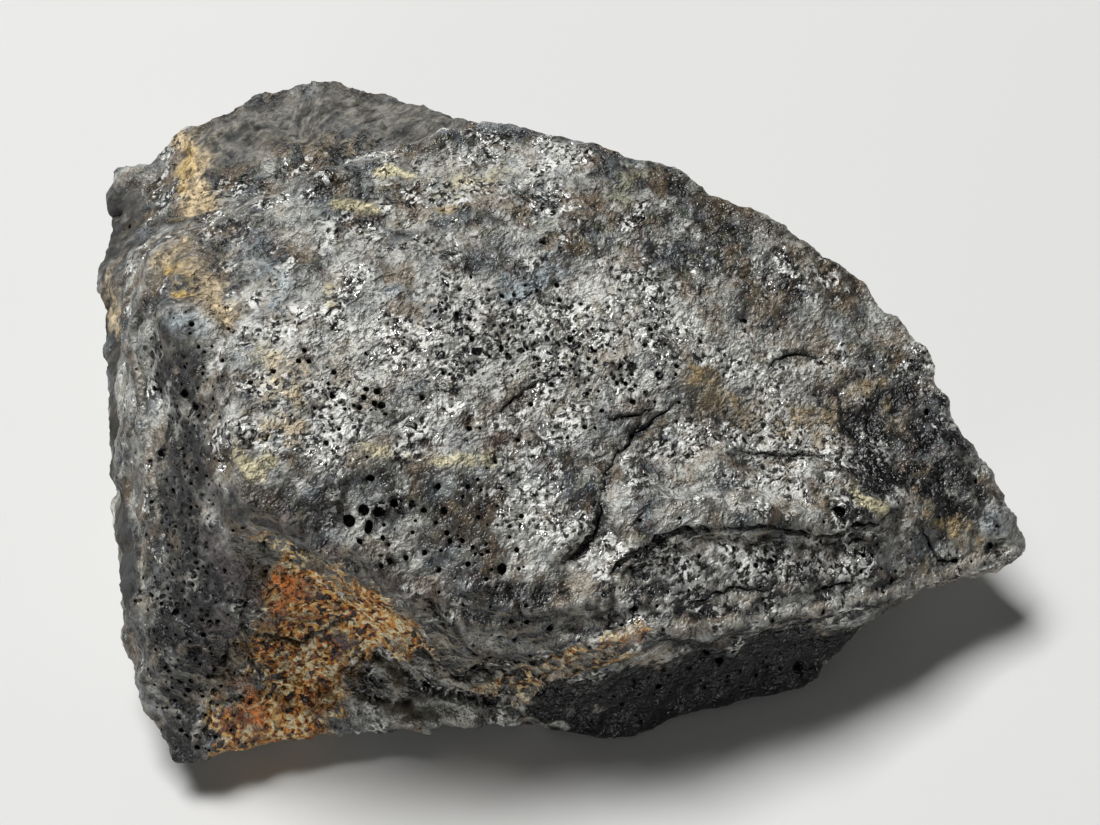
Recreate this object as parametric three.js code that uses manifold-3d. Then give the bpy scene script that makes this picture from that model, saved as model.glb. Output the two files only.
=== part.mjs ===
// A stony meteorite: one broken piece of dark, gas-pitted stone with a scooped, rusty hollow in its front.
// Millimetres, +Z up. The stone lies on its broken sole, which is the plane z = 0.
import * as THREE from "three";
import { ConvexGeometry } from "three/addons/geometries/ConvexGeometry.js";
import { ImprovedNoise } from "three/addons/math/ImprovedNoise.js";
import { mergeVertices } from "three/addons/utils/BufferGeometryUtils.js";
import Module from "manifold-3d";

// ---------------------------------------------------------------- driving dimensions
const heart = new THREE.Vector3(-4, 2, 10); // every corner of the stone can be seen from here
const ledgeStep = 1.3; // height of the overhanging step across the top
const ledgeTaper = 0.5; // the step stays nearly full height until it is close to its ends
const crackDepth = 0.7;
const crackWidth = 0.9; // from the bottom of a crack to its brim
const swells = { size: 9, height: 0.9, shift: 11.3 }; // broad, soft waves of the broken faces
const lumps = { size: 4.2, height: 0.75, shift: 4.7 }; // rounded lumps with creases between them
const creaseLevel = 0.25; // the lumps' own waves stand above the plain face where they pass this
const soleDrop = 1; // the sole's corners lie this far under the floor before they are cut flat
const pitSink = 0.35; // a pit's centre lies this part of its radius under the surface

// How evenly and how finely the stone is faceted.
const cornerStep = 2.8; // spacing of the corners along a broken edge
const plainEdge = 3.7; // longest triangle edge on plain rock
const fineEdge = 1.0; // longest triangle edge beside the ledge and the cracks
const edgeGrowth = 0.5; // millimetres that an edge may be longer for each millimetre away from them
const smoothing = { rounds: 6, along: 0.5, across: 0.15 };
const sameFaceAngle = THREE.MathUtils.degToRad(35); // neighbours turned by less lie on one broken face
const fatterBy = 1.05; // a swap of edges has to make the thinner triangle this much fatter
const sameDirection = 1e-10; // square of the gap between two unit vectors that are one corner's
const pitFacets = [7, 4]; // facets round a pit's wall and down it
const shortestEdge = 0.04; // edges that the pits leave shorter than this are closed up

// ---------------------------------------------------------------- broken edges and faces
// Each list is the run of one broken edge, or a few points on one face.
const brokenEdges = {
  backRidge: [
    [-30, 0.5, 26], [-28, 2.5, 28], [-22.5, 4, 29.5], [-16, 7, 30], [-9, 11.5, 29], [-3, 15, 27.5],
  ],
  backEdge: [[4, 13.5, 26.5], [10.5, 12.5, 25], [14.5, 10.5, 23.5], [19, 8.5, 21.5], [24.5, 7, 19]],
  rightEdge: [
    [26.5, 4, 17], [28, 1.5, 15.5], [29.5, -1, 14], [31.5, -3.5, 12], [33, -5.5, 10.5],
    [35.7, -8.3, 7.5], [36.2, -8.7, 6],
  ],
  apronRim: [
    [33, -10.8, 7], [28, -13.5, 8.2], [21.7, -17, 10.2], [14.2, -20, 12], [9, -21.5, 13],
    [3.5, -23, 13.4], [-2, -23.2, 12.5],
  ],
  bellyFoot: [
    [34, -10, 5.6], [26.2, -13.3, 5.5], [22.2, -15.1, 3], [18.8, -17.8, 1], [11.2, -19.6, 0.6],
    [6.7, -22, 0], [1.5, -22, 0.5],
  ],
  hollowFoot: [
    [-3.7, -22.4, 1.5], [-11, -22.5, 3], [-18, -24, 3.5], [-24, -25.7, 3.5], [-27, -26.2, 3],
  ],
  hollowLip: [[-15.5, -22, 21.5], [-10.2, -22.6, 18], [-6, -23.3, 13.5]],
  hollowSide: [
    [-21.5, -19.6, 23], [-21.7, -20.3, 19.5], [-21.4, -20.9, 15], [-22.9, -22.1, 11], [-24.3, -24, 7.5],
  ],
  leftCrest: [
    [-30.2, -2, 24.5], [-29.5, -7.6, 21.5], [-29, -11.6, 18.5], [-28.5, -16, 14], [-28.5, -22, 9],
  ],
  bandTop: [[-26.3, -4.9, 28], [-22.5, -8.5, 28.2], [-21.3, -14.4, 27], [-20.3, -18.3, 25.5]],
  leftFoot: [[-29.4, -23, 5], [-31, -17.3, 6], [-33.5, -3.9, 6], [-35.4, 6, 7], [-37, 19.6, 9]],
  shoulderRim: [
    [-37.2, 26.5, 10], [-36.8, 28.5, 11], [-34, 28.3, 12], [-31.8, 30.6, 14], [-28.4, 30.5, 14.5],
    [-24.4, 33.2, 16], [-17.3, 32.3, 17], [-12.5, 29.4, 18], [-8, 24.3, 20], [-4.5, 18.5, 24],
  ],
};
const brokenFaces = {
  hollow: [
    [-17.8, -17.4, 18.2], [-17.6, -17.2, 15], [-18.5, -18, 11.5], [-14.9, -18.4, 12], [-14.4, -19, 8],
    [-10.8, -19.8, 7.8], [-20.5, -20, 9], [-18, -21.4, 6], [-12, -21, 5.2], [-7.2, -21.2, 5.6],
    [-12.6, -19.8, 14.5],
  ],
  band: [
    [-24.7, -11, 25.3], [-24.5, -15.9, 23], [-24.7, -18.9, 18], [-25.3, -20.7, 13], [-26.2, -23.8, 8.8],
  ],
  nose: [
    [-3.4, -19.7, 18.5], [-3.4, -21.7, 16.5], [-3.5, -22.8, 14], [0.7, -21.4, 16.2],
    [-10.2, -20.2, 20.8], [-6.8, -21.9, 18],
  ],
  belly: [[3, -21, 6.5], [9, -19.5, 6.5], [16, -16.7, 5.5], [-3.7, -21.6, 7]],
  shoulder: [[-30, 20, 13.5], [-24, 18, 16], [-17, 18, 19], [-32, 12, 15], [-20, 26, 15.5]],
  back: [
    [-36, 24, 5], [-30, 31, 6], [-18, 34, 8], [-6, 27, 10], [4, 20, 12], [14, 16, 12], [24, 11, 10],
    [29, 3, 8], [33, -3, 6],
  ],
  top: [
    [-10.3, -14, 24.6], [-4.8, -15.6, 22.2], [0.7, -14.3, 20.6], [10.8, -9, 18.8], [18.4, -6.5, 16],
    [24.6, -4.8, 14], [11, 1.2, 22.8], [18.7, 1.5, 19.3], [3.6, -3.2, 24.2], [3.7, 4.7, 26.6],
    [-3.6, 1.5, 27.6], [-7, -7.2, 26.3], [-13.8, -8.8, 28], [-17.5, -3.3, 29.3],
  ],
};
// The sole's outline and its middle, as places on the floor.
const sole = [
  [-31, 20], [-20, 27], [-6, 21], [6, 14], [16, 6], [20, -4], [15, -15], [6, -20], [-8, -19],
  [-22, -19], [-29, -8], [-31, 6], [-5, 0],
];
// The overhanging step, from the nose towards the tip, halfway up its height.
const ledge = [
  [3.5, -20.4, 16], [4.2, -19.1, 16.6], [7, -17.5, 17.2], [8.3, -16.6, 17.6], [9.9, -15.8, 17.4],
  [13.5, -15, 16.4], [15.7, -14.3, 15.7], [18, -13.9, 14.4], [20.2, -13.6, 13.6], [21.8, -12.6, 13.5],
  [24.1, -11.6, 12.8], [25.5, -10.4, 12.8],
];
const cracks = {
  acrossNose: [
    [8.6, -7.6, 21], [6.4, -9.8, 20.8], [3.9, -12.8, 20], [3.7, -15.8, 18.6], [2.8, -17.3, 18.2],
    [1.4, -18.9, 17.5],
  ],
  besideTip: [[27.2, -11.4, 11.5], [28, -12, 10.5], [28.7, -13, 9], [30.1, -12, 8.8]],
};
// Gas pits wide enough to tell apart at arm's length: a place near the surface, and the radius.
const pits = {
  aboveHollow: [
    [-13.5, -19.4, 22.4, 0.5], [-12.7, -18.7, 22.5, 0.5], [-11.4, -18.3, 22.1, 0.5],
    [-10.4, -17.8, 22.1, 0.45], [-12.1, -19.6, 21.7, 0.6], [-9.4, -17.6, 21.9, 0.5],
    [-12.6, -17, 23.8, 0.45], [-7.7, -16.5, 22.4, 0.45], [-7.3, -17.9, 21.2, 0.4],
    [-14.2, -20.8, 21.7, 0.4], [-10.8, -20.8, 19.7, 0.4], [-7.7, -20.8, 18.7, 0.4],
    [-3.4, -20, 18, 0.6], [0.7, -18.4, 17.4, 0.4],
  ],
  top: [
    [-13.4, -11.6, 26.4, 0.45], [-11.7, -10.9, 26.1, 0.5], [-11.9, -12.1, 25.8, 0.45],
    [14.2, 1.1, 20.8, 0.45], [1.6, -4, 23.9, 0.4], [-0.4, 2.8, 27.2, 0.45], [-6.4, -2.4, 27.5, 0.45],
    [-3.5, -7.8, 24.4, 0.45], [-4.9, -10, 24.2, 0.4],
  ],
  tip: [
    [28.3, -2, 14.2, 0.5], [20.6, -12.3, 14.7, 0.6], [30.2, -11.5, 7.9, 0.6], [25.3, -14.5, 9.6, 0.5],
    [33.1, -9.7, 7.7, 0.5], [21.9, -10, 14.5, 0.45],
  ],
  band: [
    [-27.6, -8.2, 23.3, 0.5], [-25.4, -10.2, 25.2, 0.5], [-24.4, -11.6, 25.2, 0.45],
    [-27.4, -12, 20.9, 0.5], [-23.5, -9.2, 27.4, 0.4], [-28.4, -13.6, 17.6, 0.4],
    [-26.5, -19.8, 13.1, 0.4], [-23.6, -14.2, 24.7, 0.4],
  ],
  belly: [
    [11.1, -18.7, 6.1, 0.6], [12.5, -18.5, 5.2, 0.7], [18.7, -17.2, 2.7, 0.6], [17.1, -17.1, 4.4, 0.5],
    [19.6, -16.1, 4.6, 0.45], [-0.3, -22.6, 13.7, 0.4],
  ],
  shoulder: [[-36.2, 24.1, 9.9, 0.7], [-27.7, 28.3, 15.1, 0.6]],
  back: [[4, 19, 14, 0.6], [-14, 31, 12, 0.7], [16, 14, 13, 0.5]],
  leftSide: [[-33, 2, 12, 0.6], [-32, -8, 12, 0.5], [-35, 14, 9, 0.5]],
};

// ---------------------------------------------------------------- cage: the plain broken faces
const toPoint = ([x, y, z]) => new THREE.Vector3(x, y, z);

function alongEdge(list, step) {
  const run = [toPoint(list[0])];
  for (const corner of list.slice(1).map(toPoint)) {
    const start = run.at(-1);
    const pieces = Math.ceil(start.distanceTo(corner) / step);
    for (let i = 1; i <= pieces; i++) run.push(start.clone().lerp(corner, i / pieces));
  }
  return run;
}

// The lip of the ledge and the foot of its step, which is highest in the middle of its run.
function ledgeCorners() {
  const run = alongEdge(ledge, fineEdge);
  return run.flatMap((p, i) => {
    const rise = (ledgeStep / 2) * Math.sin((Math.PI * (i + 1)) / (run.length + 1)) ** ledgeTaper;
    return [p.clone().setZ(p.z + rise), p.clone().setZ(p.z - rise)];
  });
}

// The hull of the corners' directions from the heart says which three corners share each face.
function joinCorners(points) {
  const directions = points.map((p) => p.clone().sub(heart).normalize());
  const hull = new ConvexGeometry(directions).getAttribute("position");
  const corner = new THREE.Vector3();
  const indices = [];
  for (let i = 0; i < hull.count; i++) {
    corner.fromBufferAttribute(hull, i);
    indices.push(directions.findIndex((d) => d.distanceToSquared(corner) < sameDirection));
  }
  const faces = [];
  for (let i = 0; i < indices.length; i += 3) faces.push(indices.slice(i, i + 3));
  return { points, faces };
}

// ---------------------------------------------------------------- even triangles
// Splits every edge longer than longest(middle of the edge) until none is left.
function splitLongEdges({ points, faces }, longest) {
  for (;;) {
    const middles = new Map();
    const middleOf = (a, b) => {
      const key = a < b ? `${a},${b}` : `${b},${a}`;
      if (!middles.has(key)) {
        const middle = points[a].clone().add(points[b]).multiplyScalar(0.5);
        const long = points[a].distanceTo(points[b]) > longest(middle);
        middles.set(key, long ? points.push(middle) - 1 : -1);
      }
      return middles.get(key);
    };
    const next = [];
    for (const face of faces) {
      const cut = [0, 1, 2].map((i) => middleOf(face[i], face[(i + 1) % 3]));
      const count = cut.filter((m) => m >= 0).length;
      if (count === 3) {
        for (let i = 0; i < 3; i++) next.push([face[i], cut[i], cut[(i + 2) % 3]]);
        next.push(cut);
      } else if (count === 0) {
        next.push(face);
      } else {
        const turn = count === 1 ? cut.findIndex((m) => m >= 0) : (cut.findIndex((m) => m < 0) + 1) % 3;
        const [a, b, c] = [0, 1, 2].map((i) => face[(turn + i) % 3]);
        const [ab, bc] = [0, 1].map((i) => cut[(turn + i) % 3]);
        if (count === 1) next.push([a, ab, c], [ab, b, c]);
        else next.push([ab, b, bc], [a, ab, bc], [a, bc, c]);
      }
    }
    if (next.length === faces.length) return { points, faces };
    faces = next;
  }
}

// Swaps the shared edge of two thin triangles on one face of the rock, where that makes both fatter.
function swapThinEdges({ points, faces }) {
  const side = (a, b) => `${a},${b}`;
  const owner = new Map();
  faces.forEach((face, i) => face.forEach((a, k) => owner.set(side(a, face[(k + 1) % 3]), i)));
  const measure = (a, b, c) => {
    const [ab, ac] = [points[b].clone().sub(points[a]), points[c].clone().sub(points[a])];
    const normal = new THREE.Vector3().crossVectors(ab, ac);
    const edges = ab.lengthSq() + ac.lengthSq() + points[b].distanceToSquared(points[c]);
    return { fatness: normal.length() / edges, normal: normal.normalize() };
  };
  const used = new Set();
  for (let i = 0; i < faces.length; i++) {
    for (let k = 0; k < 3 && !used.has(i); k++) {
      const [a, b, c] = [0, 1, 2].map((n) => faces[i][(k + n) % 3]);
      const j = owner.get(side(b, a));
      const d = faces[j].find((corner) => corner !== a && corner !== b);
      if (used.has(j) || owner.has(side(c, d)) || owner.has(side(d, c))) continue;
      const before = [measure(a, b, c), measure(b, a, d)];
      const after = [measure(c, a, d), measure(d, b, c)];
      const [thinBefore, thinAfter] = [before, after].map((pair) => Math.min(...pair.map((t) => t.fatness)));
      const oneFace = [before, after].every(([s, t]) => s.normal.angleTo(t.normal) < sameFaceAngle);
      if (thinAfter < fatterBy * thinBefore || !oneFace) continue;
      faces[i] = [c, a, d];
      faces[j] = [d, b, c];
      owner.set(side(c, d), j);
      owner.set(side(d, c), i);
      used.add(i).add(j);
    }
  }
}

function toGeometry({ points, faces }) {
  const geometry = new THREE.BufferGeometry().setFromPoints(points);
  return geometry.setIndex(faces.flat());
}

function normalsOf(mesh) {
  const geometry = toGeometry(mesh);
  geometry.computeVertexNormals();
  const normals = geometry.getAttribute("normal");
  return mesh.points.map((_, i) => new THREE.Vector3().fromBufferAttribute(normals, i));
}

// Moves each point towards the middle of its neighbours: far along the surface, and a little across it.
function relax(mesh, firstFree, { along, across }) {
  const normals = normalsOf(mesh);
  const sums = mesh.points.map(() => new THREE.Vector3());
  const counts = mesh.points.map(() => 0);
  for (const [a, b, c] of mesh.faces) {
    for (const [from, to] of [[a, b], [b, c], [c, a]]) {
      sums[from].add(mesh.points[to]);
      counts[from]++;
    }
  }
  mesh.points.forEach((p, i) => {
    if (i < firstFree) return;
    const pull = sums[i].divideScalar(counts[i]).sub(p);
    const out = normals[i].clone().multiplyScalar(pull.dot(normals[i]));
    p.addScaledVector(pull.sub(out), along).addScaledVector(out, across);
  });
}

// ---------------------------------------------------------------- relief
const noise = new ImprovedNoise();
const crackRuns = Object.values(cracks).flatMap((run) => alongEdge(run, fineEdge / 2));
const nearest = (runs, p) => Math.min(...runs.map((q) => q.distanceTo(p)));

function waves(p, { size, shift }) {
  return noise.noise(p.x / size + shift, p.y / size + shift, p.z / size + shift);
}

function reliefAt(p) {
  const soft = waves(p, swells) * swells.height;
  const lumpy = (Math.abs(waves(p, lumps)) - creaseLevel) * lumps.height;
  return soft + lumpy - crackDepth * Math.max(0, 1 - nearest(crackRuns, p) / crackWidth);
}

// ---------------------------------------------------------------- the stone
const ledgePoints = ledgeCorners();
const edgePoints = Object.values(brokenEdges).flatMap((run) => alongEdge(run, cornerStep));
const facePoints = Object.values(brokenFaces).flat().map(toPoint);
const solePoints = sole.map(([x, y]) => new THREE.Vector3(x, y, -soleDrop));
const fixedPoints = [...ledgePoints, ...edgePoints];

const fineRuns = [...crackRuns, ...alongEdge(ledge, fineEdge)];
const edgeLimit = (p) => Math.min(plainEdge, fineEdge + edgeGrowth * nearest(fineRuns, p));
const rock = splitLongEdges(joinCorners([...fixedPoints, ...facePoints, ...solePoints]), edgeLimit);
for (let round = 0; round < smoothing.rounds; round++) {
  swapThinEdges(rock);
  relax(rock, fixedPoints.length, smoothing);
}
const outward = normalsOf(rock);
rock.points.forEach((p, i) => p.addScaledVector(outward[i], reliefAt(p)));
for (const p of rock.points) p.z = Math.max(p.z, 0);

// ---------------------------------------------------------------- gas pits
const wasm = await Module();
wasm.setup();

function toSolid(geometry) {
  const { array: vertProperties } = geometry.getAttribute("position");
  return new wasm.Manifold(new wasm.Mesh({ numProp: 3, vertProperties, triVerts: geometry.index.array }));
}

function toMesh(solid) {
  const { vertProperties, triVerts } = solid.getMesh();
  const points = [];
  for (let i = 0; i < vertProperties.length; i += 3) points.push(toPoint(vertProperties.slice(i, i + 3)));
  const faces = [];
  for (let i = 0; i < triVerts.length; i += 3) faces.push([...triVerts.slice(i, i + 3)]);
  return { points, faces };
}

// A round bubble whose centre is just under the surface, on the line from the heart to the given place.
function bubble(surface, [x, y, z, radius]) {
  const way = new THREE.Vector3(x, y, z).sub(heart).normalize();
  const hit = new THREE.Raycaster(heart, way).intersectObject(surface).at(-1);
  const centre = hit.point.addScaledVector(hit.face.normal, -pitSink * radius);
  const ball = new THREE.SphereGeometry(radius, ...pitFacets).deleteAttribute("normal").deleteAttribute("uv");
  return mergeVertices(ball.rotateX(x).rotateY(y).translate(centre.x, centre.y, centre.z));
}

// Draws the ends of every edge shorter than shortestEdge together, and drops the faces that this closes up.
function joinShortEdges({ points, faces }) {
  const joined = points.map((_, i) => i);
  const rootOf = (i) => (joined[i] === i ? i : rootOf(joined[i]));
  for (const face of faces) {
    for (let k = 0; k < 3; k++) {
      const [a, b] = [rootOf(face[k]), rootOf(face[(k + 1) % 3])];
      if (points[a].distanceTo(points[b]) < shortestEdge) joined[Math.max(a, b)] = Math.min(a, b);
    }
  }
  const kept = faces.map((face) => face.map(rootOf)).filter(([a, b, c]) => a !== b && b !== c && c !== a);
  return { points, faces: kept };
}

const unpitted = toGeometry(rock);
const surface = new THREE.Mesh(unpitted, new THREE.MeshBasicMaterial({ side: THREE.DoubleSide }));
let solid = toSolid(unpitted);
for (const pit of Object.values(pits).flat()) solid = solid.subtract(toSolid(bubble(surface, pit)));

// ---------------------------------------------------------------- the part, standing over its own origin
const geometry = mergeVertices(toGeometry(joinShortEdges(toMesh(solid))).toNonIndexed());
geometry.computeBoundingBox();
const middle = geometry.boundingBox.getCenter(new THREE.Vector3());
geometry.translate(-middle.x, -middle.y, 0);
const meteorite = new THREE.Mesh(
  geometry,
  new THREE.MeshStandardMaterial({ color: 0x4b4a48, roughness: 0.55, metalness: 0.1 }),
);
meteorite.name = "meteorite";
const group = new THREE.Group();
group.add(meteorite);
export default group;
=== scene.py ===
import math
import random

import bpy
import numpy as np
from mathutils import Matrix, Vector, kdtree, noise
from mathutils.bvhtree import BVHTree


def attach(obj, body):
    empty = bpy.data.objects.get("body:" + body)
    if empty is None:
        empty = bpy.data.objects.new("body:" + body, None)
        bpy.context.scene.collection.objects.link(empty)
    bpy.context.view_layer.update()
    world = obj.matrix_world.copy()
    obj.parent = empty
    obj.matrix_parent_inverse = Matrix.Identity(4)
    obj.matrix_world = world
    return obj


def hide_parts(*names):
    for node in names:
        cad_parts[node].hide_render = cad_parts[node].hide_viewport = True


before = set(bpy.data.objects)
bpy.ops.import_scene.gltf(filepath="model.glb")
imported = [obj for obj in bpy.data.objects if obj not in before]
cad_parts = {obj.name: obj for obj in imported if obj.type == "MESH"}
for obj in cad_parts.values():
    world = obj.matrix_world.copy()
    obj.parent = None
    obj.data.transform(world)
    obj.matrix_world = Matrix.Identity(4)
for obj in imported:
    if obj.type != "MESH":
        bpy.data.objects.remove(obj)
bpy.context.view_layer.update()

MM = 0.001

# ---------------------------------------------------------------- the camera
# A camera on a stand, a hand's breadth in front of the stone. It looks down on the stone's top and broken front.
# Places on the stone are named by where they lie in its frame, across and down in a frame of 1100 by 825.
picture = (1100, 825)
camera_tilt = math.radians(48)
camera_distance = 175 * MM
width_seen = 83 * MM
aim = Vector((0.47, -5.45, 14)) * MM
sensor = 36
look = Vector((0, math.cos(camera_tilt), -math.sin(camera_tilt)))
camera_right = Vector((1, 0, 0))
camera_up = camera_right.cross(look)
camera_place = aim - look * camera_distance
bpy.ops.object.camera_add(location=camera_place, rotation=(math.pi / 2 - camera_tilt, 0, 0))
camera = bpy.context.object
camera.name = "camera"
camera.data.sensor_width = sensor
camera.data.lens = sensor * camera_distance / width_seen
camera.data.clip_start = 1 * MM
bpy.context.scene.camera = camera

# ---------------------------------------------------------------- the broken stone
# One broken lump of once molten rock, dark grey and full of gas pits, which lies loose on its flat sole.
# It starts as a merged copy of the solid, with its sharp edges creased and its planes rounded. It is then raised
# and sunk along its edges, folds and knobs, and roughened with swells, lumps and grit.
stone = bpy.data.objects.new("broken_stone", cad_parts["meteorite"].data.copy())
bpy.context.scene.collection.objects.link(stone)


def only(piece):
    """Selects this piece alone."""
    bpy.ops.object.select_all(action="DESELECT")
    piece.select_set(True)
    bpy.context.view_layer.objects.active = piece


def finish_with(piece, kind, **settings):
    """Adds a modifier with its settings and applies it."""
    modifier = piece.modifiers.new(kind.lower(), kind)
    for name, value in settings.items():
        setattr(modifier, name, value)
    only(piece)
    bpy.ops.object.modifier_apply(modifier=modifier.name)


weld_distance = 0.0005 * MM
sharp_from = math.radians(38)
edge_sharpness = 0.5
facet_size = 0.26 * MM
only(stone)
bpy.ops.object.mode_set(mode="EDIT")
bpy.ops.mesh.select_all(action="SELECT")
bpy.ops.mesh.remove_doubles(threshold=weld_distance)
bpy.ops.mesh.select_all(action="DESELECT")
bpy.ops.mesh.edges_select_sharp(sharpness=sharp_from)
bpy.ops.transform.edge_crease(value=edge_sharpness)
bpy.ops.object.mode_set(mode="OBJECT")
finish_with(stone, "SUBSURF", levels=2, render_levels=2)
finish_with(stone, "REMESH", mode="VOXEL", voxel_size=facet_size, adaptivity=0)

surface = BVHTree.FromObject(stone, bpy.context.evaluated_depsgraph_get())


def facing(place):
    """The way that the stone faces around a place, without its finest lumps."""
    nearby = surface.find_nearest_range(place, 0.9 * MM)
    return sum((normal for _, normal, _, _ in nearby), Vector()).normalized()


def on_stone(across, down, height=None):
    """The place under a point of the camera's frame, or with three numbers the nearest to a place in millimetres,
    and the way that the stone faces there."""
    if height is None:
        half = width_seen / camera_distance / 2
        right = (2 * across / picture[0] - 1) * half
        up = (picture[1] - 2 * down) / picture[0] * half
        place = surface.ray_cast(camera_place, look + camera_right * right + camera_up * up)[0]
    else:
        place = surface.find_nearest(Vector((across, down, height)) * MM)[0]
    return place, facing(place)


def run_on_stone(*places):
    """A run of places on the stone, in metres."""
    return np.array([on_stone(*place)[0] for place in places])


def distance_to(run, points):
    """How far each point is from a run of straight stretches."""
    nearest = np.linalg.norm(points - run[0], axis=1)
    for start, end in zip(run, run[1:]):
        way = end - start
        share = np.clip((points - start) @ way / (way @ way), 0, 1)
        nearest = np.minimum(nearest, np.linalg.norm(points - start - share[:, None] * way, axis=1))
    return nearest


def vertices_of(mesh):
    """Where the points of a mesh are, one row each."""
    points = np.empty(len(mesh.vertices) * 3, np.float32)
    mesh.vertices.foreach_get("co", points)
    return points.reshape(-1, 3).astype(float)


def normals_of(mesh):
    """The way each point of a mesh faces, one row each."""
    normals = np.empty(len(mesh.vertices) * 3, np.float32)
    mesh.vertex_normals.foreach_get("vector", normals)
    return normals.reshape(-1, 3).astype(float)


# without a seed the soft noise would start from the clock, and be another one each time
noise_seed = 3
noise.seed_set(noise_seed)


def shaken(points, size, by):
    """The points, each moved by soft noise, which makes straight strokes wander as broken rock does."""
    return points + np.array([noise.noise_vector(Vector(p) / size) for p in points]) * by


def push(piece, strokes):
    """Raises (or with a height below 0 sinks) the stone along each stroke."""
    points = vertices_of(piece.data)
    normals = normals_of(piece.data)
    wandering = shaken(shaken(points, 2.2 * MM, 0.5 * MM), 0.8 * MM, 0.2 * MM)
    for radius, height, places in strokes:
        closeness = 1 - np.minimum(distance_to(run_on_stone(*places), wandering) / (radius * MM), 1) ** 2
        points += normals * (closeness**2 * height * MM)[:, None]
    points[:, 2] = np.maximum(points[:, 2], 0)
    piece.data.vertices.foreach_set("co", points.astype(np.float32).ravel())
    piece.data.update()


def weigh(piece, name, weights):
    """Names how far each point of a piece takes part in a finish."""
    group = piece.vertex_groups.new(name=name)
    for i in np.flatnonzero(weights > 0.01):
        group.add([int(i)], float(weights[i]), "REPLACE")


def roughen(piece, depth, group, kind, **settings):
    """Raises and sinks a piece by a pattern of so many millimetres from its lowest to its highest."""
    pattern = bpy.data.textures.new(kind.lower(), kind)
    for name, value in settings.items():
        setattr(pattern, name, value)
    finish_with(
        piece, "DISPLACE", texture=pattern, texture_coords="LOCAL",
        strength=depth * MM, mid_level=0.5, vertex_group=group,
    )


# what runs over the stone, each a list of places in the camera's frame
top_edge = [(158, 262), (185, 232), (240, 212), (310, 190), (360, 168), (430, 148), (484, 131)]
behind_top_edge = [(195, 208), (250, 192), (320, 168), (390, 145), (445, 130)]
rim = [
    (590, 643), (615, 636), (636, 629), (655, 625), (680, 629), (750, 621), (790, 612), (850, 601), (890, 593),
    (930, 579), (960, 566), (1016, 549),
]
under_rim = [(662, 640), (690, 642), (750, 634), (800, 625), (850, 613), (880, 603)]
ledge_lip = [
    (600, 596), (615, 572), (634, 553), (658, 537), (690, 519), (740, 516), (790, 519), (830, 525), (870, 510),
    (897, 497),
]
apron_swell = [(640, 600), (680, 585), (740, 572), (800, 575), (860, 570)]
long_crest = [
    (131, 296), (131, 332), (135, 354), (139, 374), (142, 394), (143, 416), (147, 436), (151, 458), (154, 480),
    (156, 503), (156, 522),
]
outer_crest = [
    (139, 419), (133, 438), (131, 458), (129, 480), (131, 500), (136, 517), (142, 534), (142, 559), (142, 592),
    (140, 620),
]
between_crests = [(146, 450), (146, 480), (149, 510), (148, 540)]
scallops = [
    [(116, 328), (115, 347), (118, 372)],
    [(121, 430), (122, 452), (125, 472)],
    [(124, 512), (127, 528), (128, 542)],
    [(130, 572), (132, 588)],
]
band_knob = [(180, 325), (190, 330)]
band_knob_edge = [(146, 361), (149, 335), (158, 315), (180, 306), (200, 308), (213, 325), (216, 345)]
above_band_knob = [(138, 335), (148, 308), (178, 294), (210, 303), (230, 330)]
band_edge = [(236, 400), (240, 440), (238, 480), (250, 497), (290, 520)]
layer_line = [
    (228, 505), (262, 522), (300, 542), (345, 566), (385, 598), (420, 625), (452, 641), (490, 652), (540, 650),
    (600, 640),
]
hollow_lip = [(290, 522), (340, 545), (390, 575), (430, 598), (470, 620), (510, 632)]
hollow_middle = [(250, 590), (330, 640), (400, 660), (480, 680)]
hollow_folds = [
    [(262, 540), (300, 552), (345, 575), (380, 602), (405, 632)],
    [(430, 602), (452, 628), (470, 650), (500, 662), (540, 660), (575, 648)],
    [(405, 630), (425, 655), (455, 675), (495, 682), (530, 678), (556, 668)],
    [(380, 655), (405, 675), (440, 692), (480, 702), (512, 700)],
    [(350, 692), (395, 702), (440, 708)],
    [(540, 694), (560, 682), (590, 664), (620, 652)],
    [(250, 600), (240, 640), (215, 680), (205, 730)],
]
hollow_ridges = [
    [(636, 636), (612, 647), (580, 662), (552, 678), (532, 692), (518, 704)],
    [(418, 612), (440, 642), (462, 664), (500, 673), (540, 669), (568, 659)],
    [(395, 640), (415, 665), (450, 684), (488, 692), (515, 690)],
    [(450, 610), (470, 636), (500, 650), (540, 648), (570, 636)],
]
foot_edge = [(380, 714), (418, 720), (447, 718), (475, 714)]
foot_streaks = [
    [(165, 670), (200, 650), (235, 640), (262, 622)],
    [(180, 705), (215, 680), (250, 665)],
    [(172, 640), (210, 628), (240, 612)],
    [(190, 730), (230, 705), (262, 690)],
]
tip_swell = [(950, 460), (972, 485), (990, 512)]
lip_knobs = [[(740, 497), (735, 500)], [(712, 508), (705, 510)], [(663, 513), (690, 505)]]
ledge_knob = [(812, 531), (813, 531)]
nose_fold = [(540, 470), (560, 500), (565, 530), (545, 560)]
nose_knob = [(575, 568), (577, 570)]
nose_swells = [[(612, 515), (618, 530)], [(550, 550), (553, 545)]]
nose_valley = [(600, 500), (600, 520), (588, 545), (578, 560)]
ring_groove = [(412, 500), (402, 508), (408, 520), (418, 520)]
top_dents = [[(620, 384), (628, 380)], [(470, 378), (480, 372)]]
big_pits = [(368, 525), (350, 521), (364, 511), (381, 512), (392, 506), (405, 505), (501, 569), (840, 511)]

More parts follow.
